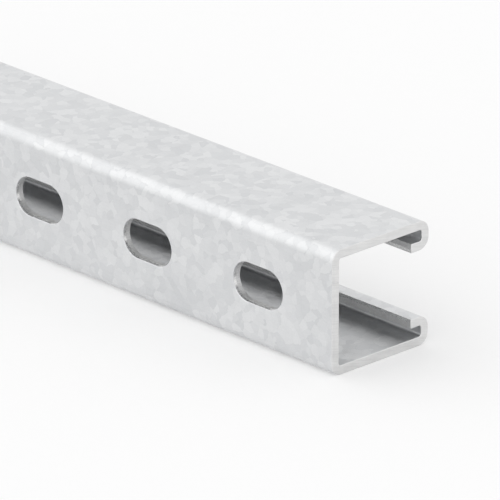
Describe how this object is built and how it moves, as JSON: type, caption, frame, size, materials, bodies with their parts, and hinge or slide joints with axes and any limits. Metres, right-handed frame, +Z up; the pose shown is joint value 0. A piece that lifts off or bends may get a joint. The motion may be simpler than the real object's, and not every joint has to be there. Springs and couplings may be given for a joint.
{
  "type": "slotted strut channel",
  "caption": "C-section steel framing channel with returned lips and a row of slots along its web, cut square to a short length, for strut nuts, brackets and pipe clamps.",
  "frame": {"origin": "middle of the footprint: half way along the bar and across its depth, on the outer face of the lower flange, on which it lies", "axes": "+X along the bar, with slot 1 nearest that end; +Y from the web's back face to the open mouth; +Z up, from the lower flange to the upper"},
  "size_m": [0.3, 0.0412, 0.0413],
  "materials": {
    "galvanised_steel": "satin"
  },
  "bodies": {
    "root": {"strut_channel": "galvanised_steel"}
  },
  "joints": []
}
